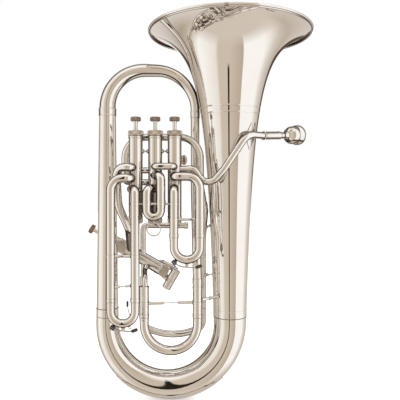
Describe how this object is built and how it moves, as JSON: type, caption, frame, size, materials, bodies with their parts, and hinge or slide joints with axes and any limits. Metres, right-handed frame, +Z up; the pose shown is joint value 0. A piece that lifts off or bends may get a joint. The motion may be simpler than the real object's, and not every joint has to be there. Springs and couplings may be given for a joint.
{
  "type": "euphonium",
  "caption": "Upright brass wind instrument with a wide conical bore, piston valves, pull slides and an upward-facing bell.",
  "frame": {"origin": "middle of the base: the centre of the bounding box seen from above, level with the lowest point of the bottom bow", "axes": "+Z up along the bell, +X from the slides towards the bell, +Y from the side with the three valves to the back"},
  "size_m": [0.4256, 0.305, 0.6859],
  "materials": {
    "silver_plate": "polished silver plate over brass",
    "satin_silver": "knurled and satin silver plate over brass",
    "piston_nickel": "lapped nickel alloy",
    "spring_steel": "drawn spring wire"
  },
  "bodies": {
    "instrument": {"bell": "silver_plate", "bell_brace": "silver_plate", "bell_ferrule": "silver_plate", "bell_rim_wire": "silver_plate", "bottom_bow": "silver_plate", "bottom_cap_1": "satin_silver", "bottom_cap_2": "satin_silver", "bottom_cap_3": "satin_silver", "bottom_cap_4": "satin_silver", "bow_guard": "silver_plate", "branch_ferrule": "silver_plate", "compensating_crook": "silver_plate", "compensating_return": "silver_plate", "compensating_tube_lower": "silver_plate", "compensating_tube_upper": "silver_plate", "knuckle_1_2": "silver_plate", "knuckle_2_3": "silver_plate", "leadpipe": "silver_plate", "leadpipe_brace": "silver_plate", "left_branch": "silver_plate", "mouthpiece_receiver": "silver_plate", "right_branch": "silver_plate", "slide_1_sleeves": "silver_plate", "slide_2_sleeves": "silver_plate", "slide_3_sleeves": "silver_plate", "slide_4_sleeve_left": "silver_plate", "top_bow": "silver_plate", "top_bow_ferrule": "silver_plate", "top_cap_1": "satin_silver", "top_cap_2": "satin_silver", "top_cap_3": "satin_silver", "top_cap_4": "satin_silver", "tube_3_to_4": "silver_plate", "tuning_sleeves": "silver_plate", "valve_casing_1": "silver_plate", "valve_casing_2": "silver_plate", "valve_casing_3": "silver_plate", "valve_casing_4": "silver_plate", "valve_spring_1": "spring_steel", "valve_spring_2": "spring_steel", "valve_spring_3": "spring_steel", "valve_spring_4": "spring_steel"},
    "valve_1": {"piston_1": "piston_nickel", "finger_button_1": "satin_silver"},
    "valve_2": {"piston_2": "piston_nickel", "finger_button_2": "satin_silver"},
    "valve_3": {"piston_3": "piston_nickel", "finger_button_3": "satin_silver"},
    "valve_4": {"piston_4": "piston_nickel", "finger_button_4": "satin_silver"},
    "first_slide": {"slide_1": "silver_plate"},
    "second_slide": {"slide_2": "silver_plate", "slide_2_ring": "silver_plate"},
    "third_slide": {"slide_3": "silver_plate"},
    "fourth_slide": {"slide_4": "silver_plate"},
    "main_tuning_slide": {"tuning_slide": "silver_plate"},
    "small_compensating_slide": {"compensating_slide": "silver_plate"},
    "first_water_key": {"water_key_1": "silver_plate"},
    "third_water_key": {"water_key_3": "silver_plate"},
    "mouthpiece_unit": {"mouthpiece": "silver_plate"}
  },
  "joints": [
    {"name": "press_valve_1", "type": "slide", "parent": "instrument", "child": "valve_1", "axis": [0, 0, -1], "range_m": [0, 0.016], "stiffness_N_per_m": 120, "springref_m": -0.03, "deforming": ["valve_spring_1"]},
    {"name": "press_valve_2", "type": "slide", "parent": "instrument", "child": "valve_2", "axis": [0, 0, -1], "range_m": [0, 0.016], "stiffness_N_per_m": 120, "springref_m": -0.03, "deforming": ["valve_spring_2"]},
    {"name": "press_valve_3", "type": "slide", "parent": "instrument", "child": "valve_3", "axis": [0, 0, -1], "range_m": [0, 0.016], "stiffness_N_per_m": 120, "springref_m": -0.03, "deforming": ["valve_spring_3"]},
    {"name": "press_valve_4", "type": "slide", "parent": "instrument", "child": "valve_4", "axis": [0.866, 0, -0.5], "range_m": [0, 0.016], "stiffness_N_per_m": 120, "springref_m": -0.03, "deforming": ["valve_spring_4"]},
    {"name": "pull_first_slide", "type": "slide", "parent": "instrument", "child": "first_slide", "axis": [0, 0, -1], "range_m": [0, 0.04]},
    {"name": "pull_second_slide", "type": "slide", "parent": "instrument", "child": "second_slide", "axis": [0, 0, -1], "range_m": [0, 0.012]},
    {"name": "pull_third_slide", "type": "slide", "parent": "instrument", "child": "third_slide", "axis": [0, 0, -1], "range_m": [0, 0.05]},
    {"name": "pull_fourth_slide", "type": "slide", "parent": "instrument", "child": "fourth_slide", "axis": [0, 0, -1], "range_m": [0, 0.03]},
    {"name": "pull_tuning_slide", "type": "slide", "parent": "instrument", "child": "main_tuning_slide", "axis": [0, 0, -1], "range_m": [0, 0.045]},
    {"name": "pull_compensating_slide", "type": "slide", "parent": "instrument", "child": "small_compensating_slide", "axis": [0, -1, 0], "range_m": [0, 0.012]},
    {"name": "press_first_water_key", "type": "hinge", "parent": "first_slide", "child": "first_water_key", "pos_m": [-0.01844, -0.072, 0.26071], "axis": [0, -1, 0], "range_deg": [0, 10], "stiffness_Nm_per_rad": 0.08, "springref_deg": -20.05},
    {"name": "press_third_water_key", "type": "hinge", "parent": "third_slide", "child": "third_water_key", "pos_m": [-0.12869, -0.072, 0.15071], "axis": [0, -1, 0], "range_deg": [0, 10], "stiffness_Nm_per_rad": 0.08, "springref_deg": -20.05},
    {"name": "withdraw_mouthpiece", "type": "slide", "parent": "instrument", "child": "mouthpiece_unit", "axis": [0.7769, 0.6256, 0.0706], "range_m": [0, 0.03]}
  ]
}
